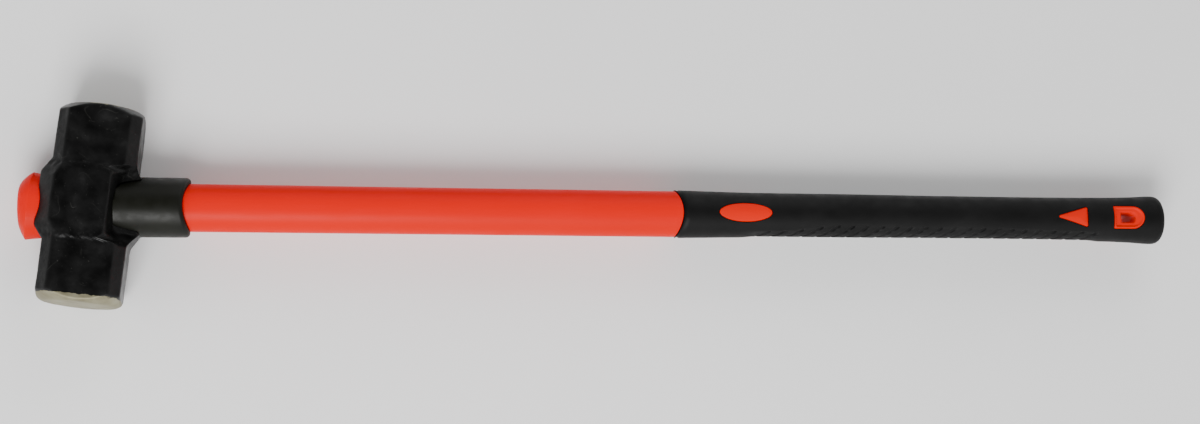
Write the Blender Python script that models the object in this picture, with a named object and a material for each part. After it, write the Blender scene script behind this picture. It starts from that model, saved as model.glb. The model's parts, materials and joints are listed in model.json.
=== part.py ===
"""Long-handled double-faced sledge hammer, lying on its side.

Frame: metres, +Z up. +X runs along the handle from the head to the butt, Y is the head's long axis, and the
origin is under the middle of the object, on the surface that the head's cheek lies on.
"""
import math

import bmesh
import bpy

# Driving dimensions, metres.
OVERALL = 0.902                     # crown to butt, along X
AXIS_Z = 0.030                      # handle axis above the floor: half the head over its cheek plates
SEGMENTS = 40                       # sides of every oval section
GAP = 0.0003                        # clearance between neighbouring pieces

CROWN_X = -OVERALL / 2              # outermost point of the crown
BUTT_X = OVERALL / 2                # outermost point of the butt
HEAD_X = CROWN_X + 0.0535           # middle of the head
HEAD_SKEW = math.radians(-6.0)      # the head sits slightly out of square on the handle

# Head, in its own axes: X is width along the handle, Y the striking axis, Z thickness.
POLL_HALF_LENGTH = 0.0735
POLL_HALF_WIDTH = 0.0302
POLL_HALF_THICK = 0.0292
POLL_CHAMFER = 0.0082
BLOCK_HALF_WIDTH = 0.0376
BLOCK_HALF_HEIGHT = 0.0175          # full-width stretch of the eye block, along Y
PLATE_HALF_HEIGHT = 0.0262          # raised cheek plates, along Y
EDGE_RADIUS = 0.0009

# Handle ovals: half height along Y, half depth along Z.
SHAFT = (0.0180, 0.0160)
NECK = (0.0176, 0.0134)             # where the jacket leaves the eye, under the collar
TENON = (0.0158, 0.0137)            # jacket under the grip
CROWN = (0.0251, 0.0200)
COLLAR = (0.0224, 0.0216)
CORE_RADIUS = 0.0116
BORE_RADIUS = CORE_RADIUS + GAP
NECK_REACH = 0.0340                 # from the middle of the head to the thin end of the neck
SHOULDER_REACH = 0.0440             # to where the jacket has its full shaft size again
BOND = 0.0010                       # thickness of the epoxy in the eye
COLLAR_MOUTH_X = HEAD_X + 0.0711
COLLAR_SCALLOP = -0.0056            # the mouth is cut back at the front and rear
GRIP_X = HEAD_X + 0.4411            # front edge of the rubber
GRIP_SCALLOP = 0.0045
TENON_END_X = BUTT_X - 0.0105
CORE_END_X = BUTT_X - 0.0600

# Grip windows, along the handle.
OVAL_X = HEAD_X + 0.4950
OVAL_HALF = (0.0213, 0.0074)
TRIANGLE_TIP_X = HEAD_X + 0.7535
TRIANGLE_LENGTH = 0.0262
TRIANGLE_HALF_BASE = 0.0080
EYELET_X = HEAD_X + 0.8150
EYELET_HALF = (0.0129, 0.0092)
SLOT_HALF = (0.0078, 0.0044)
INLAY_RECESS = 0.0004
WINDOW_INNER_Z = 0.0050             # a window is cut from here outwards, above and below the axis
CUT_REACH = 0.0400                  # how far cutters run from the axis

ORANGE = (0.90, 0.055, 0.008)
RUBBER = (0.012, 0.012, 0.013)


def clear_scene():
    """Removes what is in the open scene."""
    for obj in list(bpy.data.objects):
        bpy.data.objects.remove(obj, do_unlink=True)


def material(name, colour, roughness, metallic=0.0):
    """Makes a plain Principled material."""
    mat = bpy.data.materials.new(name)
    mat.use_nodes = True
    shader = mat.node_tree.nodes["Principled BSDF"]
    shader.inputs["Base Color"].default_value = (*colour, 1.0)
    shader.inputs["Roughness"].default_value = roughness
    shader.inputs["Metallic"].default_value = metallic
    return mat


def add_object(name, bm, mat=None, smooth_angle=35.0):
    """Closes a bmesh into a named object with outward faces."""
    bmesh.ops.recalc_face_normals(bm, faces=bm.faces)
    mesh = bpy.data.meshes.new(name)
    bm.to_mesh(mesh)
    bm.free()
    mesh.shade_smooth()
    mesh.set_sharp_from_angle(angle=math.radians(smooth_angle))
    obj = bpy.data.objects.new(name, mesh)
    bpy.context.collection.objects.link(obj)
    if mat is not None:
        mesh.materials.append(mat)
    return obj


def as_cutter(obj):
    """Marks an object as a tool that is not part of the model."""
    obj.hide_render = True
    obj.display_type = "WIRE"
    return obj


def boolean(obj, cutter, operation="DIFFERENCE"):
    """Adds an exact Boolean modifier."""
    modifier = obj.modifiers.new(operation.title(), "BOOLEAN")
    modifier.object = cutter
    modifier.operation = operation
    modifier.solver = "EXACT"


def bridge(bm, first, second):
    """Joins two rings of equal length with quads."""
    count = len(first)
    for i in range(count):
        j = (i + 1) % count
        bm.faces.new((first[i], first[j], second[j], second[i]))


def oval_body(name, stations, mat=None, closed_loop=False):
    """Lofts ovals along the handle axis.

    A station is (x, half_y, half_z, scallop, shear), where the last two may be left out. The scallop moves
    the front and rear of the ring along X, and the shear leans it. A closed loop of stations makes a tube,
    otherwise both ends are capped.
    """
    bm = bmesh.new()
    rings = []
    for station in stations:
        x, half_y, half_z = station[:3]
        scallop, shear = (*station[3:], 0.0, 0.0)[:2]
        ring = []
        for i in range(SEGMENTS):
            angle = 2.0 * math.pi * i / SEGMENTS
            y = half_y * math.cos(angle)
            z = AXIS_Z + half_z * math.sin(angle)
            ring.append(bm.verts.new((x + scallop * math.sin(angle) ** 2 + shear * y, y, z)))
        rings.append(ring)
    for first, second in zip(rings, rings[1:]):
        bridge(bm, first, second)
    if closed_loop:
        bridge(bm, rings[-1], rings[0])
    else:
        bm.faces.new(rings[0])
        bm.faces.new(rings[-1])
    return add_object(name, bm, mat)


def prism(name, outline, low, high, mat=None):
    """Extrudes an outline in X and Y between two heights."""
    bm = bmesh.new()
    bottom = [bm.verts.new((x, y, low)) for x, y in outline]
    top = [bm.verts.new((x, y, high)) for x, y in outline]
    bridge(bm, bottom, top)
    bm.faces.new(bottom)
    bm.faces.new(top)
    return add_object(name, bm, mat)


def arc(centre, radius, start, end, steps):
    """Points of an arc, with angles in degrees."""
    points = []
    for i in range(steps + 1):
        angle = math.radians(start + (end - start) * i / steps)
        points.append((centre[0] + radius * math.cos(angle), centre[1] + radius * math.sin(angle)))
    return points


def oval_outline(grow):
    """The thumb oval."""
    half_x = OVAL_HALF[0] + grow
    half_y = OVAL_HALF[1] + grow
    turns = [2.0 * math.pi * i / 28 for i in range(28)]
    return [(OVAL_X + half_x * math.cos(t), half_y * math.sin(t)) for t in turns]


def triangle_outline(grow):
    """The triangle that points at the head, with rounded corners."""
    corner = 0.0012
    lean = math.degrees(math.atan2(TRIANGLE_HALF_BASE, TRIANGLE_LENGTH))
    tip = (TRIANGLE_TIP_X + 2.0 * corner, 0.0)
    base_x = TRIANGLE_TIP_X + TRIANGLE_LENGTH - corner
    top = (base_x, TRIANGLE_HALF_BASE - corner)
    low = (base_x, corner - TRIANGLE_HALF_BASE)
    radius = corner + grow
    return (arc(tip, radius, 90.0 + lean, 270.0 - lean, 4)
            + arc(low, radius, 270.0 - lean, 360.0, 3)
            + arc(top, radius, 0.0, 90.0 + lean, 3))


def d_outline(half, grow):
    """A D lying on its side: flat towards the head, half round towards the butt."""
    corner = 0.0010
    left = EYELET_X - half[0] + corner
    radius = half[1] + grow
    centre = (EYELET_X + half[0] - half[1], 0.0)
    low = (left, corner - half[1])
    top = (left, half[1] - corner)
    return (arc(low, corner + grow, 180.0, 270.0, 2)
            + arc(centre, radius, -90.0, 90.0, 13)
            + arc(top, corner + grow, 90.0, 180.0, 2))


def head_rings():
    """Sections along the striking axis, as (y, right, left), where each side is a list of (x, z) points.

    The right side runs from its plate edge by a middle point to its flank, and the left side from its plate
    edge to its flank. Between the octagonal poll sections the eye block is wider, and it drops steeply
    towards the handle, where the collar sits against it.
    """
    def poll(y, inset_x, inset_z):
        flat = POLL_HALF_WIDTH - POLL_CHAMFER - 0.4 * inset_x
        side = POLL_HALF_WIDTH - inset_x
        front = POLL_HALF_THICK - inset_z
        shoulder = POLL_HALF_THICK - POLL_CHAMFER - 0.4 * inset_z
        middle = ((flat + side) / 2.0, (front + shoulder) / 2.0)
        return (y, [(flat, front), middle, (side, shoulder)], [(flat, front), (side, shoulder)])

    plate = AXIS_Z
    wide = BLOCK_HALF_WIDTH
    upper = [
        poll(POLL_HALF_LENGTH, 0.0105, 0.0050),
        poll(POLL_HALF_LENGTH - 0.0012, 0.0062, 0.0030),
        poll(POLL_HALF_LENGTH - 0.0030, 0.0028, 0.0013),
        poll(POLL_HALF_LENGTH - 0.0050, 0.0008, 0.0003),
        poll(POLL_HALF_LENGTH - 0.0064, 0.0, 0.0),
        poll(PLATE_HALF_HEIGHT + 0.0018, 0.0, 0.0),
        (PLATE_HALF_HEIGHT, [(0.0110, plate), (0.0240, 0.0205), (0.0314, 0.0160)],
         [(0.0210, plate), (0.0316, 0.0200)]),
        (BLOCK_HALF_HEIGHT + 0.0015, [(0.0132, plate), (0.0188, 0.0150), (wide - 0.0010, 0.0085)],
         [(0.0255, plate), (wide - 0.0010, 0.0182)]),
        (BLOCK_HALF_HEIGHT, [(0.0134, plate), (0.0184, 0.0145), (wide, 0.0080)],
         [(0.0262, plate), (wide, 0.0180)]),
    ]
    lower = [(-ring[0], *ring[1:]) for ring in reversed(upper)]
    return upper + lower


def head_solid(name, grow, mat=None):
    """The forging without its eye, grown on every side by the given amount."""
    bm = bmesh.new()
    rings = []
    for y, right, left in head_rings():
        corners = (right
                   + [(x, -z) for x, z in reversed(right)]
                   + [(-x, -z) for x, z in left]
                   + [(-x, z) for x, z in reversed(left)])
        ring = []
        for x, z in corners:
            reach = math.hypot(x, z)
            factor = (reach + grow) / reach
            ring.append(bm.verts.new((x * factor, y, z * factor)))
        rings.append(ring)
    for first, second in zip(rings, rings[1:]):
        bridge(bm, first, second)
    bm.faces.new(rings[0])
    bm.faces.new(rings[-1])
    obj = add_object(name, bm, mat, smooth_angle=20.0)
    obj.location = (HEAD_X, 0.0, AXIS_Z)
    obj.rotation_euler = (0.0, 0.0, HEAD_SKEW)
    return obj


def jacket_taper(x):
    """Outer oval of the jacket where it runs through the eye, from the crown to the neck."""
    small_end = HEAD_X + NECK_REACH
    big_end = HEAD_X - BLOCK_HALF_WIDTH
    t = min(max((small_end - x) / (small_end - big_end), 0.0), 1.0)
    return tuple(n + (c - 0.0010 - n) * t ** 1.3 for n, c in zip(NECK, CROWN))


def eye_stations(extra, low, high):
    """Ovals that follow the jacket through the eye, larger by extra."""
    steps = 6
    stations = []
    for i in range(steps + 1):
        x = low + (high - low) * i / steps
        half_y, half_z = jacket_taper(x)
        stations.append((x, half_y + extra, half_z + extra))
    return stations


def build_head():
    steel = material("lacquered_steel", (0.018, 0.018, 0.019), 0.38, 0.2)
    head = head_solid("hammer_head", 0.0, steel)
    bevel = head.modifiers.new("Edges", "BEVEL")
    bevel.width = EDGE_RADIUS
    bevel.segments = 2
    bevel.limit_method = "ANGLE"
    bevel.angle_limit = math.radians(22.0)
    eye = as_cutter(oval_body("cut_eye", eye_stations(BOND + 2.0 * GAP, HEAD_X - 0.050, HEAD_X + 0.050)))
    boolean(head, eye)


def build_bond():
    epoxy = material("epoxy", (0.30, 0.22, 0.10), 0.45)
    low = HEAD_X - BLOCK_HALF_WIDTH + 0.0042
    high = HEAD_X + 0.0150
    outer = eye_stations(BOND + GAP, low, high)
    inner = eye_stations(GAP, low, high)
    oval_body("eye_bond", outer + inner[::-1], epoxy, closed_loop=True)


def build_jacket():
    orange = material("orange_polymer", ORANGE, 0.30)
    through_eye = eye_stations(0.0, HEAD_X - BLOCK_HALF_WIDTH, HEAD_X + NECK_REACH)[::-1]
    skew = -math.tan(HEAD_SKEW)
    stations = [
        (TENON_END_X, TENON[0] - 0.0030, TENON[1] - 0.0030),
        (TENON_END_X - 0.0035, *TENON),
        (GRIP_X - 2.0 * GAP, *TENON, GRIP_SCALLOP),
        (GRIP_X - 2.0 * GAP, *SHAFT, GRIP_SCALLOP),
        (HEAD_X + SHOULDER_REACH, *SHAFT),
        *through_eye,
        (CROWN_X + 0.0083, *CROWN, 0.0, skew),
        (CROWN_X + 0.0073, CROWN[0] - 0.0004, CROWN[1] - 0.0004, 0.0, skew),
        (CROWN_X + 0.0032, CROWN[0] - 0.0066, CROWN[1] - 0.0046, 0.0, 0.5 * skew),
        (CROWN_X + 0.0009, BORE_RADIUS + 0.0004, BORE_RADIUS + 0.0004),
        (CROWN_X + 0.0012, BORE_RADIUS, BORE_RADIUS),
        (CORE_END_X + GAP, BORE_RADIUS, BORE_RADIUS),
    ]
    jacket = oval_body("handle_jacket", stations, orange)
    hole = as_cutter(prism("cut_jacket_eyelet", d_outline(EYELET_HALF, GAP), AXIS_Z - CUT_REACH,
                           AXIS_Z + CUT_REACH))
    boolean(jacket, hole)


def build_core():
    glass = material("glass_fibre", (0.62, 0.58, 0.42), 0.5)
    plug_inner_x = CROWN_X + 0.0100
    oval_body("fibreglass_core", [(plug_inner_x + GAP, CORE_RADIUS, CORE_RADIUS),
                                  (CORE_END_X - GAP, CORE_RADIUS, CORE_RADIUS)], glass)
    orange = material("orange_plug", ORANGE, 0.32)
    oval_body("crown_plug", [(plug_inner_x, CORE_RADIUS, CORE_RADIUS),
                             (CROWN_X + 0.0012, CORE_RADIUS, CORE_RADIUS),
                             (CROWN_X + 0.0004, CORE_RADIUS * 0.8, CORE_RADIUS * 0.8),
                             (CROWN_X, CORE_RADIUS * 0.4, CORE_RADIUS * 0.4)], orange)


def build_collar():
    satin = material("black_collar", (0.020, 0.020, 0.019), 0.42)
    start_x = HEAD_X + 0.0100
    mouth = COLLAR_MOUTH_X
    outer = [
        (start_x, *COLLAR),
        (HEAD_X + SHOULDER_REACH, *COLLAR),
        (mouth - 0.0052, COLLAR[0] - 0.0004, COLLAR[1] - 0.0004, COLLAR_SCALLOP),
        (mouth - 0.0022, COLLAR[0] - 0.0012, COLLAR[1] - 0.0012, COLLAR_SCALLOP),
        (mouth, SHAFT[0] + 0.0014, SHAFT[1] + 0.0014, COLLAR_SCALLOP),
        (mouth, SHAFT[0] + GAP, SHAFT[1] + GAP, COLLAR_SCALLOP),
    ]
    shoulder = (HEAD_X + SHOULDER_REACH, SHAFT[0] + GAP, SHAFT[1] + GAP)
    inner = [shoulder] + eye_stations(GAP, start_x, HEAD_X + NECK_REACH)[::-1]
    collar = oval_body("overstrike_collar", outer + inner, satin, closed_loop=True)
    boolean(collar, as_cutter(head_solid("cut_collar_head", 2.0 * GAP)))


def grip_profile():
    """Half height of the rubber along the handle, from its front edge to the butt."""
    return [
        (GRIP_X, 0.0188, GRIP_SCALLOP),
        (GRIP_X + 0.0200, 0.0184, 0.0),
        (GRIP_X + 0.0400, 0.0180, 0.0),
        (GRIP_X + 0.0620, 0.0177, 0.0),
        (GRIP_X + 0.1500, 0.0177, 0.0),
        (GRIP_X + 0.2100, 0.0174, 0.0),
        (GRIP_X + 0.2950, 0.0174, 0.0),
        (BUTT_X - 0.0720, 0.0177, 0.0),
        (BUTT_X - 0.0420, 0.0181, 0.0),
        (BUTT_X - 0.0263, 0.0187, 0.0),
        (BUTT_X - 0.0140, 0.0195, 0.0),
        (BUTT_X - 0.0090, 0.0195, 0.0),
        (BUTT_X - 0.0055, 0.0186, 0.0),
        (BUTT_X - 0.0022, 0.0152, 0.0),
        (BUTT_X, 0.0086, 0.0),
    ]


def grip_skin(offset):
    """Outer ovals of the rubber, moved in by offset."""
    depth = 0.89
    return [(x, half - offset, half * depth - offset, scallop) for x, half, scallop in grip_profile()]


def window_cutter(name, outline, upper):
    """A prism that opens one side of the rubber."""
    if upper:
        low, high = AXIS_Z + WINDOW_INNER_Z, AXIS_Z + CUT_REACH
    else:
        low, high = AXIS_Z - CUT_REACH, AXIS_Z - WINDOW_INNER_Z
    return as_cutter(prism(name, outline, low, high))


def build_grip():
    rubber = material("black_rubber", RUBBER, 0.62)
    cavity = [
        (TENON_END_X + GAP, TENON[0] - 0.0027, TENON[1] - 0.0027),
        (TENON_END_X - 0.0035 + GAP, TENON[0] + GAP, TENON[1] + GAP),
        (GRIP_X, TENON[0] + GAP, TENON[1] + GAP, GRIP_SCALLOP),
    ]
    grip = oval_body("rubber_grip", cavity + grip_skin(0.0), rubber)
    for side, upper in (("top", True), ("bottom", False)):
        boolean(grip, window_cutter("cut_oval_" + side, oval_outline(GAP), upper))
        boolean(grip, window_cutter("cut_triangle_" + side, triangle_outline(GAP), upper))
    through = as_cutter(prism("cut_grip_eyelet", d_outline(EYELET_HALF, GAP), AXIS_Z - CUT_REACH,
                              AXIS_Z + CUT_REACH))
    boolean(grip, through)


def build_inlays():
    """Orange inlays that fill the windows down to the jacket, on both sides of the grip."""
    skin = as_cutter(oval_body("cut_inlay_skin", grip_skin(INLAY_RECESS)))
    seat = as_cutter(oval_body("cut_inlay_seat", [
        (GRIP_X - 0.010, TENON[0] + GAP, TENON[1] + GAP),
        (BUTT_X - 0.020, TENON[0] + GAP, TENON[1] + GAP),
    ]))
    orange = material("orange_inlay", ORANGE, 0.34)
    for side, low, high in (("top", AXIS_Z + 0.008, AXIS_Z + CUT_REACH),
                            ("bottom", AXIS_Z - CUT_REACH, AXIS_Z - 0.008)):
        for shape, outline in (("oval", oval_outline(0.0)), ("triangle", triangle_outline(0.0))):
            inlay = prism(shape + "_inlay_" + side, outline, low, high, orange)
            boolean(inlay, skin, "INTERSECT")
            boolean(inlay, seat)
    eyelet = prism("hang_eyelet", d_outline(EYELET_HALF, 0.0), AXIS_Z - CUT_REACH, AXIS_Z + CUT_REACH, orange)
    boolean(eyelet, skin, "INTERSECT")
    slot = as_cutter(prism("cut_slot", d_outline(SLOT_HALF, 0.0), AXIS_Z - 1.2 * CUT_REACH,
                           AXIS_Z + 1.2 * CUT_REACH))
    boolean(eyelet, slot)


clear_scene()
build_head()
build_bond()
build_jacket()
build_core()
build_collar()
build_grip()
build_inlays()
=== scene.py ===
"""Looks of the long-handled double-faced sledge hammer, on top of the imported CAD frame."""
import json
import math

import bmesh
import bpy
import numpy as np
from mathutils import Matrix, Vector, noise


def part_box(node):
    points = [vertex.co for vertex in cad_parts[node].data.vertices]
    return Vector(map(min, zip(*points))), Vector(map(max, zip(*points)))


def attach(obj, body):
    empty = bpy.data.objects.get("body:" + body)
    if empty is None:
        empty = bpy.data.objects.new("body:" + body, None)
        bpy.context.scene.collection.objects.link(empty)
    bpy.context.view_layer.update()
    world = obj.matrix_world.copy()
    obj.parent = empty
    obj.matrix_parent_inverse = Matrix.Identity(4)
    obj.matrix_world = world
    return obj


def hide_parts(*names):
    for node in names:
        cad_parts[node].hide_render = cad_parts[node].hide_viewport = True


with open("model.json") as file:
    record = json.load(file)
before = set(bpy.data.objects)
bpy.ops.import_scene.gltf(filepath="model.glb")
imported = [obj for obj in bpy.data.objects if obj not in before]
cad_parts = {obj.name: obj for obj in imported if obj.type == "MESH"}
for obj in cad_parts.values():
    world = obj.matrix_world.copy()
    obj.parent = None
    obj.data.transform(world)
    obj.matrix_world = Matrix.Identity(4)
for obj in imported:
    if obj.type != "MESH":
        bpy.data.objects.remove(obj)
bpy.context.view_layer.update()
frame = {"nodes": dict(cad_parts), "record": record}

# Places along the handle and the height of its axis, metres, all taken from the frame.
head_low, head_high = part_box("hammer_head")
core_low, core_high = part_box("fibreglass_core")
grip_low, grip_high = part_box("rubber_grip")
oval_low, oval_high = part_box("oval_inlay_top")
triangle_low, triangle_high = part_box("triangle_inlay_top")
eyelet_low, eyelet_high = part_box("hang_eyelet")
face_mount = next(m for m in frame["record"]["mounts"] if m["name"] == "striking_face_front")

HEAD_X = (head_low.x + head_high.x) / 2
AXIS_Z = (head_low.z + head_high.z) / 2
CROWN_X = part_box("crown_plug")[0].x
NECK_X = HEAD_X + 0.0340            # small end of the taper through the eye
SHOULDER_X = HEAD_X + 0.0440        # start of the full shaft
MOUTH_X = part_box("overstrike_collar")[1].x
GRIP_X = grip_low.x
TENON_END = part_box("handle_jacket")[1].x
BUTT_X = grip_high.x
DOME_X = BUTT_X - 0.0085            # start of the rounded butt
GAP = 0.0003

# Head, metres, in its own axes: Y runs along the polls from the middle of the eye.
HEAD_SKEW = math.atan2(face_mount["axis"][0], -face_mount["axis"][1])
POLL_LENGTH = math.hypot(face_mount["pos_m"][0] - HEAD_X, face_mount["pos_m"][1])
BLOCK_HALF_WIDTH = 0.0376
PLATE_Z = AXIS_Z - 0.0002
WALL_START = 0.0345                 # where the plain poll begins
FACE_RADIUS = 0.0272
FACE_CROWN = 0.0004
RIM_SLOPE = 0.70
RIM_ROUND = 0.0009
PAINT_EDGE_FRONT = POLL_LENGTH - 0.0054
PAINT_EDGE_REAR = POLL_LENGTH - 0.0008
PAINT_RAGGED = 0.0030
PAINT_FADE = 0.0003

# Unevenness of the forged head: depths, dents and the crinkled ledge beside the eye block.
WAVE_DEPTH = 0.00022
GRAIN_DEPTH = 0.00005
CRINKLE_DEPTH = 0.00040
LEDGE_Y = 0.0262
LEDGE_WIDTH = 0.0030
DENT_COUNT = 70
DENT_RADIUS = (0.0012, 0.0046)
DENT_SLOPE = (0.03, 0.075)

# Quads along each of the ten sides of a head section.
FINE_SIDES = (9, 9, 20, 9, 9, 30, 14, 40, 14, 50)
COARSE_SIDES = (1,) * 10

# Handle ovals, metres: half height along Y, half depth along Z.
SHAFT = (0.0180, 0.0160)
NECK = (0.0176, 0.0134)
TENON = (0.0158, 0.0137)
CROWN = (0.0251, 0.0200)
COLLAR = (0.0224, 0.0216)
CORE_RADIUS = 0.0119
CROWN_LIP = 0.0010                  # how far the crown stands out past the eye
DOME_RISE = 0.0009                  # height of the plug's dome
CROWN_RISE = 0.0076                 # height of the crown around the plug
EYE_PLAY = 0.0010                   # thickness of the bond between jacket and eye
GRIP_SCALLOP = 0.0045
COLLAR_SCALLOP = -0.0056
LIP_LENGTH = 0.0034
LIP_DROP = 0.0030

# Rubber: half height at places along the handle, and its depth over its height.
GRIP_PROFILE = np.array([
    (GRIP_X, 0.0188), (GRIP_X + 0.0200, 0.0184), (GRIP_X + 0.0400, 0.0180), (GRIP_X + 0.0620, 0.0177),
    (GRIP_X + 0.1500, 0.0177), (GRIP_X + 0.2100, 0.0174), (GRIP_X + 0.2950, 0.0174),
    (BUTT_X - 0.0720, 0.0177), (BUTT_X - 0.0420, 0.0181), (BUTT_X - 0.0263, 0.0187),
    (BUTT_X - 0.0140, 0.0195), (DOME_X, 0.0196)])
GRIP_DEPTH = 0.89
GRIP_SEGMENTS = 128
EDGE_BEAD = 0.0012

# Grooves on the belly of the grip, and the soft ridge above them as places along X and Y.
GROOVE_PITCH = 0.0123
GROOVE_COUNT = 23
GROOVE_START = HEAD_X + 0.5050
GROOVED_END = GROOVE_START + (GROOVE_COUNT + 1) * GROOVE_PITCH
GROOVE_DEPTH = 0.0017
GROOVE_HALF_WIDTH = 0.0021
GROOVE_WALL = 0.0006
GROOVE_SLANT = 1.0
BELLY_DEPTH = 0.0008
RIDGE_LINE = np.array([
    (HEAD_X + 0.500, -0.0145), (HEAD_X + 0.535, -0.0135), (HEAD_X + 0.565, -0.0092),
    (HEAD_X + 0.700, -0.0098), (HEAD_X + 0.790, -0.0122)])

# Inlays and eyelet.
INLAY_SUNK = 0.00035
INLAY_EDGE = 0.0005
INLAY_CROWN = 0.00025
SLOT_NARROW = 0.79                  # the hanging slot is shorter than its sunk floor
EYELET_PROFILE = [                  # how far in from the outline, and how deep under the rubber's skin
    (0.0, 0.0005), (0.0001, 0.0002), (0.0004, -0.0001), (0.0012, -0.0001), (0.0016, 0.0002),
    (0.0019, 0.0012), (0.0024, 0.0016), (0.0036, 0.0017), (0.0044, 0.0018), (0.0048, 0.0021),
    (0.0050, 0.0027)]

# Colours, linear, and the sockets of a Mix node: factor, first, second and result.
DUST = (0.06, 0.06, 0.055, 1.0)
RUBBED = (0.075, 0.075, 0.073, 1.0)
MIX_COLOUR = (0, 6, 7, 2)
MIX_NUMBER = (0, 2, 3, 0)

# Studio. The camera is turned by degrees about X, Y and Z.
CAMERA_PLACE = (HEAD_X + 0.1148, -0.2220, AXIS_Z + 1.4426)
CAMERA_TURN = (8.7963, -10.3869, -0.8569)
CAMERA_LENS = 57.33
LAMPS = (("key", (-0.60, -1.60, 1.75), 1.2, 72.0), ("fill", (0.50, 2.10, 1.30), 1.6, 20.0))
LAMP_TARGET = (-0.05, 0.0, 0.0)


class Graph:
    """A node tree, with the few kinds of node that the finishes are made of."""

    def __init__(self, tree):
        self.nodes = tree.nodes
        self.links = tree.links

    def feed(self, node, inputs):
        """Fills inputs, given by name or number: an output is linked, a plain value is set."""
        for name, value in inputs.items():
            if isinstance(value, bpy.types.NodeSocket):
                self.links.new(value, node.inputs[name])
            else:
                node.inputs[name].default_value = value

    def node(self, kind, inputs):
        """A new node with its inputs filled."""
        node = self.nodes.new(kind)
        self.feed(node, inputs)
        return node

    def axis(self, name, coordinates="Object"):
        """One coordinate of the place on the object."""
        place = self.nodes.new("ShaderNodeTexCoord")
        split = self.node("ShaderNodeSeparateXYZ", {"Vector": place.outputs[coordinates]})
        return split.outputs[name]

    def noise(self, scale, detail, stretch=(1.0, 1.0, 1.0)):
        """Noise over the object's own coordinates."""
        place = self.nodes.new("ShaderNodeTexCoord")
        mapping = self.node("ShaderNodeMapping", {"Vector": place.outputs["Object"], "Scale": stretch})
        texture = self.node("ShaderNodeTexNoise", {
            "Vector": mapping.outputs["Vector"], "Scale": scale, "Detail": detail})
        return texture.outputs["Fac"]

    def ramp(self, value, stops):
        """Colours a value. A stop is (position, colour)."""
        node = self.node("ShaderNodeValToRGB", {"Fac": value})
        elements = node.color_ramp.elements
        while len(elements) < len(stops):
            elements.new(0.5)
        for element, (position, colour) in zip(elements, stops):
            element.position = position
            element.color = (*colour, 1.0)
        return node.outputs["Color"]

    def mapped(self, value, source, target=(0.0, 1.0)):
        """Maps a value from one range to another, clamped."""
        node = self.node("ShaderNodeMapRange", {
            "Value": value, "From Min": source[0], "From Max": source[1],
            "To Min": target[0], "To Max": target[1]})
        return node.outputs["Result"]

    def compute(self, operation, *values):
        """A math node over outputs and plain numbers."""
        node = self.node("ShaderNodeMath", dict(enumerate(values)))
        node.operation = operation
        return node.outputs[0]

    def mix(self, factor, first, second, sockets=MIX_COLOUR):
        """Mixes two colours or two numbers."""
        node = self.nodes.new("ShaderNodeMix")
        node.data_type = "RGBA" if sockets == MIX_COLOUR else "FLOAT"
        self.feed(node, dict(zip(sockets, (factor, first, second))))
        return node.outputs[sockets[-1]]

    def bump(self, height, strength, distance, under=None):
        """A normal bumped by a height, over another bump if one is given."""
        node = self.node("ShaderNodeBump", {"Height": height, "Strength": strength, "Distance": distance})
        if under is not None:
            self.feed(node, {"Normal": under})
        return node.outputs["Normal"]


def new_material(name):
    """A material with its node graph and its Principled shader."""
    mat = bpy.data.materials.new(name)
    mat.use_nodes = True
    graph = Graph(mat.node_tree)
    return mat, graph, graph.nodes["Principled BSDF"]


def grey(level):
    """A neutral colour."""
    return (level, level, level)


def simple_finish(name, stops, roughness, scale, grain, level=0.5, stretch=(1.0, 1.0, 1.0)):
    """Uneven colour and roughness over a fine grain, given as (scale, strength, distance) of its bump."""
    mat, graph, shader = new_material(name)
    broad = graph.noise(scale, detail=5.0, stretch=stretch)
    worn = graph.noise(scale * 3.1, detail=6.0, stretch=stretch)
    grain_scale, strength, distance = grain
    graph.feed(shader, {
        "Base Color": graph.ramp(broad, stops),
        "Roughness": graph.mapped(worn, (0.35, 0.65), roughness),
        "Specular IOR Level": level,
        "Normal": graph.bump(graph.noise(grain_scale, detail=3.0), strength, distance)})
    return mat


def orange_finish(name, far_colour, near_painted_shade_colour, roughness):
    """Moulded orange plastic with hairline scuffs, with painted shade that makes the -Y side, which faces the
    key lamp, a shade duller.
    """
    mat, graph, shader = new_material(name)
    # Painted shade: the -Y side, lit by the key lamp, takes the darker near colour.
    side = graph.mapped(graph.axis("Y"), (0.004, -0.014))
    cloud = graph.noise(22.0, detail=5.0, stretch=(0.3, 1.0, 1.0))
    far = graph.ramp(cloud, [(0.3, [0.93 * c for c in far_colour]), (0.7, far_colour)])
    near = graph.ramp(cloud, [(0.3, near_painted_shade_colour), (0.7, [1.05 * c for c in near_painted_shade_colour])])
    scuff = graph.noise(260.0, detail=4.0, stretch=(0.12, 1.0, 1.0))
    graph.feed(shader, {
        "Base Color": graph.mix(side, far, near),
        "Roughness": graph.mapped(scuff, (0.45, 0.72), roughness),
        "Specular IOR Level": 0.06,
        "Normal": graph.bump(scuff, strength=0.10, distance=0.0003)})
    return mat


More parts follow.
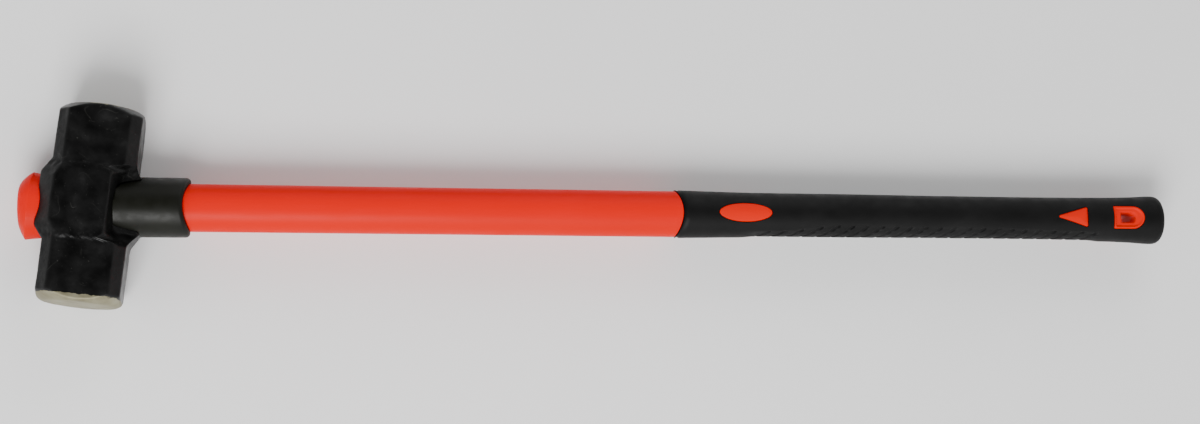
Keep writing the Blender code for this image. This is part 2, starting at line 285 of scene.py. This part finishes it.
def head_finish():
    """Black lacquer over forged steel, worn grey on the edges, with both striking faces ground bare."""
    mat, graph, shader = new_material("lacquered_steel_looks")

    # Bare steel starts at a ragged line near each end of the head.
    ragged = graph.noise(260.0, detail=4.0)
    edge = graph.compute("MULTIPLY_ADD", ragged, PAINT_RAGGED, graph.axis("Y"))
    front = PAINT_RAGGED / 2.0 - PAINT_EDGE_FRONT
    rear = PAINT_RAGGED / 2.0 + PAINT_EDGE_REAR
    bare_front = graph.mapped(edge, (front, front - PAINT_FADE))
    bare_rear = graph.mapped(edge, (rear, rear + PAINT_FADE))
    bare = graph.compute("MAXIMUM", bare_front, bare_rear)

    # Lacquer with dust specks, broken crease lines and edges rubbed grey.
    patch = graph.noise(70.0, detail=6.0)
    paint = graph.ramp(patch, [(0.35, grey(0.0022)), (0.60, grey(0.0042)), (0.78, grey(0.010))])
    specks = graph.mapped(graph.noise(900.0, detail=2.0), (0.735, 0.76))
    paint = graph.mix(specks, paint, DUST)
    crease = graph.compute("COMPARE", graph.noise(34.0, detail=1.5), 0.5, 0.0022)
    patchy = graph.mapped(graph.noise(90.0, detail=3.0), (0.50, 0.62), (0.0, 0.35))
    paint = graph.mix(graph.compute("MULTIPLY", crease, patchy), paint, DUST)
    pointiness = graph.nodes.new("ShaderNodeNewGeometry").outputs["Pointiness"]
    ridge = graph.mapped(pointiness, (0.535, 0.60))
    chips = graph.mapped(graph.noise(320.0, detail=5.0), (0.47, 0.66), (0.0, 0.55))
    paint = graph.mix(graph.compute("MULTIPLY", ridge, chips), paint, RUBBED)

    ground = graph.noise(55.0, detail=7.0)
    steel = graph.ramp(ground, [(0.30, (0.13, 0.115, 0.070)), (0.52, (0.21, 0.195, 0.125)),
                                (0.74, (0.29, 0.28, 0.21))])
    gloss = graph.mapped(patch, (0.30, 0.70), (0.27, 0.48))
    matte = graph.mapped(ground, (0.30, 0.70), (0.46, 0.62))
    wrinkle = graph.bump(graph.noise(480.0, detail=5.0), strength=0.30, distance=0.0004)
    graph.feed(shader, {
        "Base Color": graph.mix(bare, paint, steel),
        "Roughness": graph.mix(bare, gloss, matte, MIX_NUMBER),
        "Metallic": graph.compute("MULTIPLY", bare, 0.45),
        "Specular IOR Level": 0.18,
        "Normal": graph.bump(patch, strength=0.35, distance=0.0012, under=wrinkle)})
    return mat


def new_object(name, mesh, mat=None, smooth_angle=40.0):
    """Turns a mesh into an object with its faces pointing out, smooth but for its sharp edges."""
    bm = bmesh.new()
    bm.from_mesh(mesh)
    bmesh.ops.recalc_face_normals(bm, faces=bm.faces)
    bm.to_mesh(mesh)
    bm.free()
    mesh.shade_smooth()
    mesh.set_sharp_from_angle(angle=math.radians(smooth_angle))
    obj = bpy.data.objects.new(name, mesh)
    bpy.context.collection.objects.link(obj)
    if mat is not None:
        mesh.materials.append(mat)
    return obj


def stand_for(obj, node):
    """Makes a piece ride on the hammer in the place of a CAD node."""
    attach(obj, "root")
    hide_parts(node)


def loft_mesh(name, rings, loop=False):
    """A quad skin through rings of equal length. A loop joins the last ring to the first."""
    rings = np.asarray(rings, float)
    count, around = rings.shape[:2]
    faces = []
    for i in range(count if loop else count - 1):
        first = i * around
        second = ((i + 1) % count) * around
        for j in range(around):
            k = (j + 1) % around
            faces.append((first + j, first + k, second + k, second + j))
    if not loop:
        faces.append(tuple(range(around)))
        faces.append(tuple(range((count - 1) * around, count * around)))
    mesh = bpy.data.meshes.new(name)
    mesh.from_pydata(rings.reshape(-1, 3).tolist(), [], faces)
    return mesh


def cut(obj, cutters):
    """Cuts other objects out of one for good, then removes them."""
    for cutter in cutters:
        modifier = obj.modifiers.new("Cut", "BOOLEAN")
        modifier.object = cutter
        modifier.solver = "EXACT"
    bpy.context.view_layer.update()
    graph = bpy.context.evaluated_depsgraph_get()
    result = bpy.data.meshes.new_from_object(obj.evaluated_get(graph), preserve_all_data_layers=True,
                                             depsgraph=graph)
    obj.modifiers.clear()
    obj.data = result
    for cutter in cutters:
        bpy.data.objects.remove(cutter, do_unlink=True)


def oval_ring(x, half_y, half_z, scallop=0.0, shear=0.0, segments=112):
    """A ring of an oval section around the handle's axis."""
    angle = np.arange(segments) * 2.0 * math.pi / segments
    y = half_y * np.cos(angle)
    z = half_z * np.sin(angle)
    return np.stack([x + scallop * np.sin(angle) ** 2 + shear * y, y, AXIS_Z + z], axis=1)


def oval_rings(stations):
    """A ring for each station, given as what oval_ring takes."""
    return [oval_ring(*station) for station in stations]


def clamp(value):
    """A value held between 0 and 1."""
    return min(max(value, 0.0), 1.0)


def fractal(point, octaves=3):
    """Noise from about -1 to 1."""
    return noise.fractal(point, 1.0, 2.0, octaves)


# The head.
def corner_paths():
    """The ten corners of a section: each one's path as places (y, x, z), and its signs of x and z."""
    flat, side, shoulder, front = 0.0220, 0.0302, 0.0210, 0.0292
    wide = BLOCK_HALF_WIDTH
    plate_right = [(0.0, 0.0136, PLATE_Z), (0.0175, 0.0134, PLATE_Z), (0.0232, 0.0128, PLATE_Z),
                   (0.0266, 0.0085, PLATE_Z), (0.0284, flat, front)]
    middle = [(0.0, 0.0184, 0.0145), (0.0175, 0.0184, 0.0145), (0.0195, 0.0192, 0.0152),
              (0.0266, 0.0240, 0.0215), (0.0300, 0.0261, 0.0251)]
    flank_right = [(0.0, wide, 0.0080), (0.0175, wide, 0.0080), (0.0195, wide - 0.0012, 0.0088),
                   (0.0266, 0.0312, 0.0165), (0.0300, side, shoulder)]
    plate_left = [(0.0, 0.0268, PLATE_Z), (0.0165, 0.0264, PLATE_Z), (0.0266, 0.0205, PLATE_Z),
                  (0.0284, flat, front)]
    flank_left = [(0.0, wide, 0.0176), (0.0195, wide, 0.0180), (0.0212, wide - 0.0006, 0.0184),
                  (0.0300, side, shoulder)]
    right = [(path, 1, 1) for path in (plate_right, middle, flank_right)]
    right += [(path, 1, -1) for path in (flank_right, middle, plate_right)]
    left = [(path, -1, -1) for path in (plate_left, flank_left)]
    left += [(path, -1, 1) for path in (flank_left, plate_left)]
    return right + left


def section(y, paths, counts):
    """The points around the head at a place along the polls, as (n, 2) of x and z."""
    corners = []
    for path, sign_x, sign_z in paths:
        table = np.array(path)
        corners.append((sign_x * np.interp(abs(y), table[:, 0], table[:, 1]),
                        sign_z * np.interp(abs(y), table[:, 0], table[:, 2])))
    corners = np.array(corners)
    points = []
    for i, count in enumerate(counts):
        start, end = corners[i], corners[(i + 1) % len(corners)]
        for step in range(count):
            points.append(start + (end - start) * step / count)
    return np.array(points)


def rim_height(radius):
    """How far the end of a poll reaches along Y at a distance from its axis: flat, then a turned bevel."""
    past = radius - FACE_RADIUS
    crown = FACE_CROWN * (1.0 - np.minimum(radius / FACE_RADIUS, 1.0) ** 2)
    return POLL_LENGTH + crown - RIM_SLOPE * (past + np.sqrt(past ** 2 + RIM_ROUND ** 2)) / 2.0


def head_rings(counts, wall_steps, cap_steps):
    """All the rings of the head, from its -Y face to its +Y face, in its own axes."""
    paths = corner_paths()
    poll = section(POLL_LENGTH, paths, counts)
    reach = np.hypot(poll[:, 0], poll[:, 1])
    edge = rim_height(reach)
    block = np.arange(0.0, WALL_START, (POLL_LENGTH - WALL_START) / wall_steps)
    middle = []
    for y in list(-block[:0:-1]) + list(block):
        points = section(y, paths, counts)
        middle.append(np.stack([points[:, 0], np.full(len(points), y), points[:, 1]], axis=1))
    upper = []
    for i in range(wall_steps + 1):
        y = WALL_START + (edge - WALL_START) * i / wall_steps
        upper.append(np.stack([poll[:, 0], y, poll[:, 1]], axis=1))
    for i in range(1, cap_steps + 1):
        factor = 1.0 - i / (cap_steps + 0.3)
        upper.append(np.stack([poll[:, 0] * factor, rim_height(reach * factor), poll[:, 1] * factor], axis=1))
    lower = [ring * np.array([1.0, -1.0, 1.0]) for ring in reversed(upper)]
    return np.array(lower + middle + upper)


def soften(rings, rounds, amount=0.5):
    """Rounds the edges of a grid of rings."""
    for _ in range(rounds):
        around = (np.roll(rings, 1, axis=1) + np.roll(rings, -1, axis=1)) / 2.0
        along = rings.copy()
        along[1:-1] = (rings[2:] + rings[:-2]) / 2.0
        rings = rings + amount * ((around + along) / 2.0 - rings)
    return rings


def grid_normals(rings):
    """Outward directions of a grid of rings."""
    across = np.roll(rings, -1, axis=1) - np.roll(rings, 1, axis=1)
    along = np.gradient(rings, axis=0)
    normal = np.cross(along, across)
    normal /= np.linalg.norm(normal, axis=2, keepdims=True) + 1e-12
    outward = np.sum(normal * rings, axis=2).sum()
    return normal if outward > 0 else -normal


def weather_head(rings):
    """Forging waves, hammer dents and wrinkled lacquer."""
    rng = np.random.default_rng(7)
    normals = grid_normals(rings)
    flat = rings.reshape(-1, 3)
    depth = np.zeros(len(flat))
    for i, point in enumerate(flat):
        place = Vector(point)
        depth[i] = WAVE_DEPTH * fractal(place * 55.0)
        depth[i] += GRAIN_DEPTH * fractal(place * 330.0 + Vector((5.0, 0.0, 0.0)))
        ledge = math.exp(-((abs(point[1]) - LEDGE_Y) / LEDGE_WIDTH) ** 2)
        if point[2] > 0.0 or ledge < 0.2:
            depth[i] += CRINKLE_DEPTH * ledge * fractal(place * 420.0 + Vector((0.0, 9.0, 0.0)), 4)
    for _ in range(DENT_COUNT):
        centre = flat[rng.integers(len(flat))]
        radius = rng.uniform(*DENT_RADIUS)
        away = np.linalg.norm(flat - centre, axis=1) / radius
        depth -= radius * rng.uniform(*DENT_SLOPE) * np.exp(-away ** 2)
    return rings + normals * depth.reshape(rings.shape[:2])[:, :, None]


def place_head(obj):
    """Moves something made in the head's own axes to its place on the handle."""
    obj.location = (HEAD_X, 0.0, AXIS_Z)
    obj.rotation_euler = (0.0, 0.0, HEAD_SKEW)


def jacket_taper(x):
    """Outer oval of the jacket where it runs through the eye, from the crown to the neck."""
    big_end = HEAD_X - BLOCK_HALF_WIDTH
    t = clamp((NECK_X - x) / (NECK_X - big_end))
    return tuple(neck + (crown - CROWN_LIP - neck) * t ** 1.3 for neck, crown in zip(NECK, CROWN))


def eye_stations(extra, low, high, steps=10):
    """Ovals that follow the jacket through the eye, larger by extra."""
    stations = []
    for i in range(steps + 1):
        x = low + (high - low) * i / steps
        half_y, half_z = jacket_taper(x)
        stations.append((x, half_y + extra, half_z + extra))
    return stations


def build_head():
    """The forged head with its tapered eye."""
    rings = soften(head_rings(FINE_SIDES, wall_steps=46, cap_steps=30), rounds=3)
    head = new_object("head_looks", loft_mesh("head_looks", weather_head(rings)), head_finish())
    place_head(head)
    eye = oval_rings(eye_stations(EYE_PLAY + 2.0 * GAP, HEAD_X - 0.050, HEAD_X + 0.050))
    cut(head, [new_object("eye_cut", loft_mesh("eye_cut", eye))])
    stand_for(head, "hammer_head")


# The handle.
def crown_skin(t):
    """Place along X of the crown's dome, from the edge of its plug (0) to its rim (1)."""
    return CROWN_X + DOME_RISE + CROWN_RISE * t ** 1.9


def build_plug(mat):
    """Round plug in the crown that closes the dome."""
    edge = CORE_RADIUS - GAP
    steps = 9
    stations = [(core_low.x - GAP, edge, edge)]
    for i in range(steps):
        radius = edge * math.cos(math.pi / 2.0 * i / steps)
        stations.append((CROWN_X + DOME_RISE * (radius / edge) ** 2, radius, radius))
    plug = new_object("crown_plug_looks", loft_mesh("crown_plug_looks", oval_rings(stations)), mat)
    stand_for(plug, "crown_plug")


def crown_stations():
    """The crown from its hole for the plug over its rim, leaning with the head."""
    lean = -math.tan(HEAD_SKEW)
    hole = CORE_RADIUS + 0.0002
    steps = 14
    stations = []
    for i in range(steps + 1):
        t = i / steps
        half_y, half_z = (hole + (half - hole) * t for half in CROWN)
        stations.append((crown_skin(t), half_y, half_z, 0.0, lean * t ** 2))
    rim = crown_skin(1.0)
    stations.append((rim + 0.0004, *CROWN, 0.0, lean))
    stations.append((rim + 0.0016, CROWN[0] - 0.0003, CROWN[1] - 0.0003, 0.0, 0.6 * lean))
    return stations


def shaft_stations():
    """The neck, the plain shaft up to the scalloped edge of the rubber, and the tenon under the rubber."""
    stations = []
    for t in (0.25, 0.5, 0.75, 1.0):
        half_y, half_z = (neck + (shaft - neck) * t for neck, shaft in zip(NECK, SHAFT))
        stations.append((NECK_X + (SHOULDER_X - NECK_X) * t, half_y, half_z))
    shaft_end = GRIP_X - 2.0 * GAP
    steps = 60
    for i in range(1, steps + 1):
        t = i / steps
        stations.append((SHOULDER_X + (shaft_end - SHOULDER_X) * t, *SHAFT, GRIP_SCALLOP * t))
    stations.append((shaft_end, *TENON, GRIP_SCALLOP))
    stations.append((TENON_END - 0.0035, *TENON))
    stations.append((TENON_END, TENON[0] - 0.0030, TENON[1] - 0.0030))
    return stations


def build_jacket(mat):
    """Handle jacket and crown in one moulding, with a faint wave along the shaft."""
    through = eye_stations(0.0, HEAD_X - BLOCK_HALF_WIDTH, NECK_X)
    rings = np.array(oval_rings(crown_stations() + through + shaft_stations()))
    flat = rings.reshape(-1, 3)
    for i in np.nonzero(flat[:, 0] > HEAD_X + 0.06)[0]:
        x, y, z = flat[i]
        wave = 0.00006 * fractal(Vector((x * 9.0, y * 60.0, z * 60.0)), 2)
        scale = 1.0 + wave / SHAFT[0]
        flat[i, 1:] = y * scale, AXIS_Z + (z - AXIS_Z) * scale
    plug_seat = oval_ring(CROWN_X + 0.0012, CORE_RADIUS, CORE_RADIUS)
    core_seat = oval_ring(core_high.x + 2.0 * GAP, CORE_RADIUS, CORE_RADIUS)
    jacket = new_object("jacket_looks", loft_mesh("jacket_looks", [plug_seat, *rings, core_seat]), mat)
    cut(jacket, [prism("jacket_hole", d_outline(0.0), AXIS_Z - 0.050, AXIS_Z + 0.050)])
    stand_for(jacket, "handle_jacket")


def build_collar():
    """Overstrike collar, with a rolled lip at its mouth and its other end shaped to the head."""
    start = HEAD_X + 0.0100
    outer = [(start + 0.0500 * i / 30.0, *COLLAR, COLLAR_SCALLOP * (i / 30.0) ** 3) for i in range(31)]
    lip = []
    for i in range(9):
        turn = math.pi / 2.0 * i / 8.0
        half_y, half_z = (half - 0.0001 - LIP_DROP * (1.0 - math.cos(turn)) for half in COLLAR)
        lip.append((MOUTH_X - LIP_LENGTH * (1.0 - math.sin(turn)), half_y, half_z, COLLAR_SCALLOP))
    mouth = [(MOUTH_X, SHAFT[0] + GAP, SHAFT[1] + GAP, COLLAR_SCALLOP),
             (SHOULDER_X, SHAFT[0] + GAP, SHAFT[1] + GAP)]
    inner = eye_stations(GAP, start, NECK_X)[::-1]
    mesh = loft_mesh("collar_looks", oval_rings(outer + lip + mouth + inner), loop=True)
    satin = simple_finish("black_collar_looks",
                          [(0.3, (0.0048, 0.0050, 0.0034)), (0.7, (0.0085, 0.0088, 0.0062))],
                          roughness=(0.36, 0.48), scale=40.0, grain=(900.0, 0.12, 0.0002), level=0.14)
    collar = new_object("collar_looks", mesh, satin)
    grown = head_rings(COARSE_SIDES, wall_steps=3, cap_steps=2)
    swell = 1.0 + 0.0001 / np.maximum(np.hypot(grown[:, :, 0], grown[:, :, 2]), 0.004)
    grown[:, :, 0] *= swell
    grown[:, :, 2] *= swell
    cutter = new_object("collar_cut", loft_mesh("collar_cut", grown))
    place_head(cutter)
    cut(collar, [cutter])
    stand_for(collar, "overstrike_collar")


# Outlines on the grip.
def arc(centre, radius, start, end, steps):
    """Points of an arc, with angles in degrees."""
    turns = [math.radians(start + (end - start) * i / steps) for i in range(steps + 1)]
    return [(centre[0] + radius * math.cos(t), centre[1] + radius * math.sin(t)) for t in turns]


def oval_outline(grow):
    """The thumb oval."""
    centre = (oval_low.x + oval_high.x) / 2.0
    half_x = (oval_high.x - oval_low.x) / 2.0 + grow
    half_y = (oval_high.y - oval_low.y) / 2.0 + grow
    turns = [2.0 * math.pi * (i + 0.37) / 72 for i in range(72)]
    return [(centre + half_x * math.cos(t), half_y * math.sin(t)) for t in turns]


def triangle_outline(grow):
    """The triangle that points at the head, with rounded corners."""
    corner = 0.0012
    half_base = (triangle_high.y - triangle_low.y) / 2.0
    lean = math.degrees(math.atan2(half_base, triangle_high.x - triangle_low.x))
    tip = (triangle_low.x + corner, 0.0)
    base_x = triangle_high.x - corner
    radius = corner + grow
    return (arc(tip, radius, 90.0 + lean, 270.0 - lean, 7)
            + arc((base_x, corner - half_base), radius, 270.0 - lean, 360.0, 7)
            + arc((base_x, half_base - corner), radius, 0.0, 90.0 + lean, 7))


def d_outline(grow, shrink=0.0):
    """A D lying on its side, 62 points: flat towards the head, half round towards the butt."""
    corner = 0.0010
    half = (eyelet_high.y - eyelet_low.y) / 2.0 - shrink
    left = eyelet_low.x + shrink + corner
    centre = (eyelet_high.x - shrink - half, 0.0)
    return (arc((left, corner - half), corner + grow, 180.0, 270.0, 5)
            + arc(centre, half + grow, -90.0, 90.0, 49)
            + arc((left, half - corner), corner + grow, 90.0, 180.0, 5))


def prism(name, outline, low, high):
    """An upright cutter."""
    rings = [[(x, y, z) for x, y in outline] for z in (low, high)]
    return new_object(name, loft_mesh(name, rings))


# The grip.
def grip_half(x):
    """Half height of the rubber at a place along the handle."""
    return float(np.interp(x, GRIP_PROFILE[:, 0], GRIP_PROFILE[:, 1]))


def grip_offset(x, angle, half):
    """How far the rubber is sunk: slanted grooves over the belly and a soft step above them."""
    below = np.interp(x, RIDGE_LINE[:, 0], RIDGE_LINE[:, 1]) - half * math.cos(angle)
    if x < GROOVE_START - 0.02 or x > GROOVED_END or below < -0.002:
        return 0.0
    inside = clamp((x - GROOVE_START + 0.012) / 0.012)
    inside *= clamp((GROOVED_END - 0.4 * GROOVE_PITCH - x) / 0.010)
    sunk = BELLY_DEPTH * inside * clamp((below + 0.0006) / 0.0024)
    wrap = half * abs(math.remainder(angle - math.pi, 2.0 * math.pi))
    along = (x - GROOVE_SLANT * wrap - GROOVE_START) / GROOVE_PITCH
    away = abs(along - round(along)) * GROOVE_PITCH
    if -0.4 < along < GROOVE_COUNT - 0.6:
        wall = clamp((GROOVE_HALF_WIDTH - away) / GROOVE_WALL)
        sunk += GROOVE_DEPTH * wall * clamp((below - 0.0002) / 0.0010)
    return sunk


def grip_ring(x, half, scallop=0.0):
    """A ring of the rubber's skin."""
    return oval_ring(x, half, half * GRIP_DEPTH, scallop, segments=GRIP_SEGMENTS)


def grip_skin():
    """Rings from the beaded front edge of the rubber to its rounded butt, closest together at the grooves."""
    rings = []
    for turn in np.linspace(math.pi / 2, 0.0, 5):
        x = GRIP_X + EDGE_BEAD * (1.0 - math.sin(turn))
        rings.append(grip_ring(x, grip_half(x) - EDGE_BEAD * math.cos(turn), GRIP_SCALLOP))
    plain_end = GROOVE_START - 0.016
    places = [*np.arange(GRIP_X + 0.0032, plain_end, 0.0030), *np.arange(plain_end, GROOVED_END, 0.00075),
              *np.arange(GROOVED_END, DOME_X, 0.0016)]
    angles = np.arange(GRIP_SEGMENTS) * 2.0 * math.pi / GRIP_SEGMENTS
    for x in places:
        half = grip_half(x)
        ring = grip_ring(x, half, GRIP_SCALLOP * clamp(1.0 - (x - GRIP_X) / 0.03))
        scale = 1.0 - np.array([grip_offset(x, angle, half) for angle in angles]) / half
        ring[:, 1] *= scale
        ring[:, 2] = AXIS_Z + (ring[:, 2] - AXIS_Z) * scale
        rings.append(ring)
    steps = 13
    for i in range(steps):
        t = i / steps
        turn = math.pi / 2.0 * t
        half = grip_half(DOME_X) - 0.0042 * (1.0 - math.cos(turn)) - 0.0154 * t ** 5
        rings.append(grip_ring(DOME_X + 0.0075 * math.sin(turn) ** 1.15, half))
    return rings


def build_grip():
    """Rubber grip over the tenon, with windows for the inlays and a hole for the eyelet."""
    cavity = [(TENON_END + GAP, TENON[0] - 0.0027, TENON[1] - 0.0027),
              (TENON_END - 0.0032, TENON[0] + GAP, TENON[1] + GAP),
              (GRIP_X, TENON[0] + GAP, TENON[1] + GAP, GRIP_SCALLOP)]
    inner = [oval_ring(*station, segments=GRIP_SEGMENTS) for station in cavity]
    rubber = simple_finish("black_rubber_looks",
                           [(0.3, grey(0.0035)), (0.62, grey(0.0055)), (0.8, grey(0.009))],
                           roughness=(0.46, 0.60), scale=30.0, grain=(1500.0, 0.25, 0.00025), level=0.13)
    grip = new_object("grip_looks", loft_mesh("grip_looks", inner + grip_skin()), rubber, smooth_angle=35.0)
    near, far = 0.005, 0.040
    cutters = []
    for side, low, high in (("top", AXIS_Z + near, AXIS_Z + far), ("bottom", AXIS_Z - far, AXIS_Z - near)):
        cutters.append(prism("oval_cut_" + side, oval_outline(GAP), low, high))
        cutters.append(prism("triangle_cut_" + side, triangle_outline(GAP), low, high))
    cutters.append(prism("eyelet_cut", d_outline(GAP), AXIS_Z - far, AXIS_Z + far))
    cut(grip, cutters)
    stand_for(grip, "rubber_grip")


def oval_height(y, half_y, half_z):
    """Height of an oval skin over the axis at a distance to the side."""
    return half_z * math.sqrt(max(1.0 - (y / half_y) ** 2, 0.0))


def skin_height(x, y, sunk):
    """Height over the axis of a place sunk under the rubber's skin."""
    half = grip_half(x)
    return oval_height(y, half, half * GRIP_DEPTH) - sunk


def seat_height(y):
    """Height over the axis of the jacket that the inlays sit on."""
    return oval_height(y, TENON[0] + GAP, TENON[1] + GAP) + 0.0001


def scaled(outline, factor, centre_x):
    """An outline scaled about a place on the axis."""
    return [(centre_x + (x - centre_x) * factor, y * factor) for x, y in outline]


def build_inlay(shape, outline_of, centre_x, side, sign, mat):
    """A crisp inlay with a rounded edge, seated on the jacket."""
    rings = []
    for factor in (0.05, 0.5, 1.0):
        rings.append([(x, y, seat_height(y)) for x, y in scaled(outline_of(0.0), factor, centre_x)])
    for t in (0.0, 0.35, 0.65, 1.0):
        turn = t * math.pi / 2.0
        inset = INLAY_EDGE * (1.0 - math.cos(turn))
        drop = INLAY_EDGE * (1.0 - math.sin(turn)) + INLAY_SUNK
        rings.append([(x, y, skin_height(x, y, drop)) for x, y in outline_of(-inset)])
    for factor in (0.86, 0.7, 0.5, 0.3, 0.12, 0.02):
        drop = INLAY_SUNK - INLAY_CROWN * (1.0 - factor)
        rings.append([(x, y, skin_height(x, y, drop))
                      for x, y in scaled(outline_of(-INLAY_EDGE), factor, centre_x)])
    rings = np.array(rings)
    rings[:, :, 2] = AXIS_Z + sign * rings[:, :, 2]
    name = shape + "_looks_" + side
    inlay = new_object(name, loft_mesh(name, rings), mat, smooth_angle=50.0)
    stand_for(inlay, shape + "_inlay_" + side)


def build_eyelet(mat):
    """The D-shaped bushing: raised rim, sunk floor and the slot that it hangs on."""
    upper = [[(x, y, skin_height(x, y, sunk)) for x, y in d_outline(0.0, shrink)]
             for shrink, sunk in EYELET_PROFILE]
    waist = [(x, y, 0.002) for x, y, _ in upper[-1]]
    upper = np.array([*upper, waist])
    centre_x = (eyelet_low.x + eyelet_high.x) / 2.0
    for ring, narrow in ((-4, 0.94), (-3, 0.87), (-2, SLOT_NARROW), (-1, SLOT_NARROW)):
        upper[ring, :, 0] = centre_x + (upper[ring, :, 0] - centre_x) * narrow
    lower = upper[::-1].copy()
    upper[:, :, 2] = AXIS_Z + upper[:, :, 2]
    lower[:, :, 2] = AXIS_Z - lower[:, :, 2]
    mesh = loft_mesh("eyelet_looks", np.concatenate([upper, lower]), loop=True)
    eyelet = new_object("eyelet_looks", mesh, mat, smooth_angle=50.0)
    stand_for(eyelet, "hang_eyelet")


def finish_hidden_nodes():
    """Materials of the pieces that stay as packed."""
    glass = simple_finish("glass_fibre_looks", [(0.3, (0.50, 0.46, 0.32)), (0.7, (0.66, 0.62, 0.46))],
                          roughness=(0.42, 0.60), scale=60.0, grain=(700.0, 0.3, 0.0003),
                          stretch=(0.08, 1.0, 1.0))
    epoxy = simple_finish("epoxy_looks", [(0.3, (0.22, 0.15, 0.06)), (0.7, (0.34, 0.26, 0.12))],
                          roughness=(0.25, 0.45), scale=90.0, grain=(500.0, 0.3, 0.0004))
    for node, mat in (("fibreglass_core", glass), ("eye_bond", epoxy)):
        obj = frame["nodes"][node]
        obj.data.materials.clear()
        obj.data.materials.append(mat)


# Studio.
def build_floor():
    """A plain pale floor that can't be seen from below."""
    mat = simple_finish("studio_floor", [(0.3, grey(0.90)), (0.7, grey(0.93))], roughness=(0.85, 0.95),
                        scale=3.0, grain=(60.0, 0.02, 0.0005), level=0.1)
    graph = Graph(mat.node_tree)
    seen = graph.node("ShaderNodeMixShader", {
        0: graph.nodes.new("ShaderNodeNewGeometry").outputs["Backfacing"],
        1: graph.nodes["Principled BSDF"].outputs[0],
        2: graph.nodes.new("ShaderNodeBsdfTransparent").outputs[0]})
    graph.feed(graph.nodes["Material Output"], {"Surface": seen.outputs[0]})
    mesh = bpy.data.meshes.new("studio_floor")
    bm = bmesh.new()
    bmesh.ops.create_grid(bm, x_segments=8, y_segments=8, size=6.0)
    bm.to_mesh(mesh)
    bm.free()
    mesh.materials.append(mat)
    floor = bpy.data.objects.new("studio_floor", mesh)
    bpy.context.collection.objects.link(floor)
    floor.location.z = -0.0005


def build_world():
    """Soft white surroundings: dark right overhead, brightest on the -Y side."""
    world = bpy.data.worlds.new("studio")
    bpy.context.scene.world = world
    world.use_nodes = True
    graph = Graph(world.node_tree)
    overhead = graph.mapped(graph.axis("Z", "Generated"), (0.78, 0.93), (1.0, 0.03))
    side = graph.mapped(graph.axis("Y", "Generated"), (-0.6, 0.6), (1.20, 0.45))
    graph.feed(graph.nodes["Background"], {
        "Color": (1.0, 1.0, 1.0, 1.0), "Strength": graph.compute("MULTIPLY", overhead, side)})


def build_lamps():
    """Two soft lamps that point at the hammer."""
    for name, place, size, power in LAMPS:
        data = bpy.data.lights.new(name, "AREA")
        data.size = size
        data.energy = power
        lamp = bpy.data.objects.new(name, data)
        bpy.context.collection.objects.link(lamp)
        lamp.location = place
        lamp.rotation_euler = (Vector(LAMP_TARGET) - lamp.location).to_track_quat("-Z", "Y").to_euler()


def build_camera():
    """The camera, nearly over the head."""
    data = bpy.data.cameras.new("photo_camera")
    data.sensor_width = 36.0
    data.lens = CAMERA_LENS
    data.clip_start = 0.05
    camera = bpy.data.objects.new("photo_camera", data)
    bpy.context.collection.objects.link(camera)
    camera.location = CAMERA_PLACE
    camera.rotation_euler = [math.radians(turn) for turn in CAMERA_TURN]
    bpy.context.scene.camera = camera


build_head()
# Far (+Y) and near (-Y) orange: the near one is darker, painted shade against the key lamp.
jacket_orange = orange_finish("orange_polymer_looks", (0.78, 0.0030, 0.0), (0.58, 0.0060, 0.0), (0.34, 0.50))
build_jacket(jacket_orange)
build_plug(jacket_orange)
build_collar()
build_grip()
# Far (+Y) and near (-Y) orange for the inlays: the near one is darker, painted shade against the key lamp.
inlay_orange = orange_finish("orange_inlay_looks", (0.74, 0.0090, 0.0), (0.62, 0.0120, 0.0), (0.36, 0.52))
oval_centre = (oval_low.x + oval_high.x) / 2.0
triangle_centre = triangle_low.x + (triangle_high.x - triangle_low.x) * 0.66
for side_name, side_sign in (("top", 1.0), ("bottom", -1.0)):
    build_inlay("oval", oval_outline, oval_centre, side_name, side_sign, inlay_orange)
    build_inlay("triangle", triangle_outline, triangle_centre, side_name, side_sign, inlay_orange)
build_eyelet(inlay_orange)
finish_hidden_nodes()
build_floor()
build_world()
build_lamps()
build_camera()
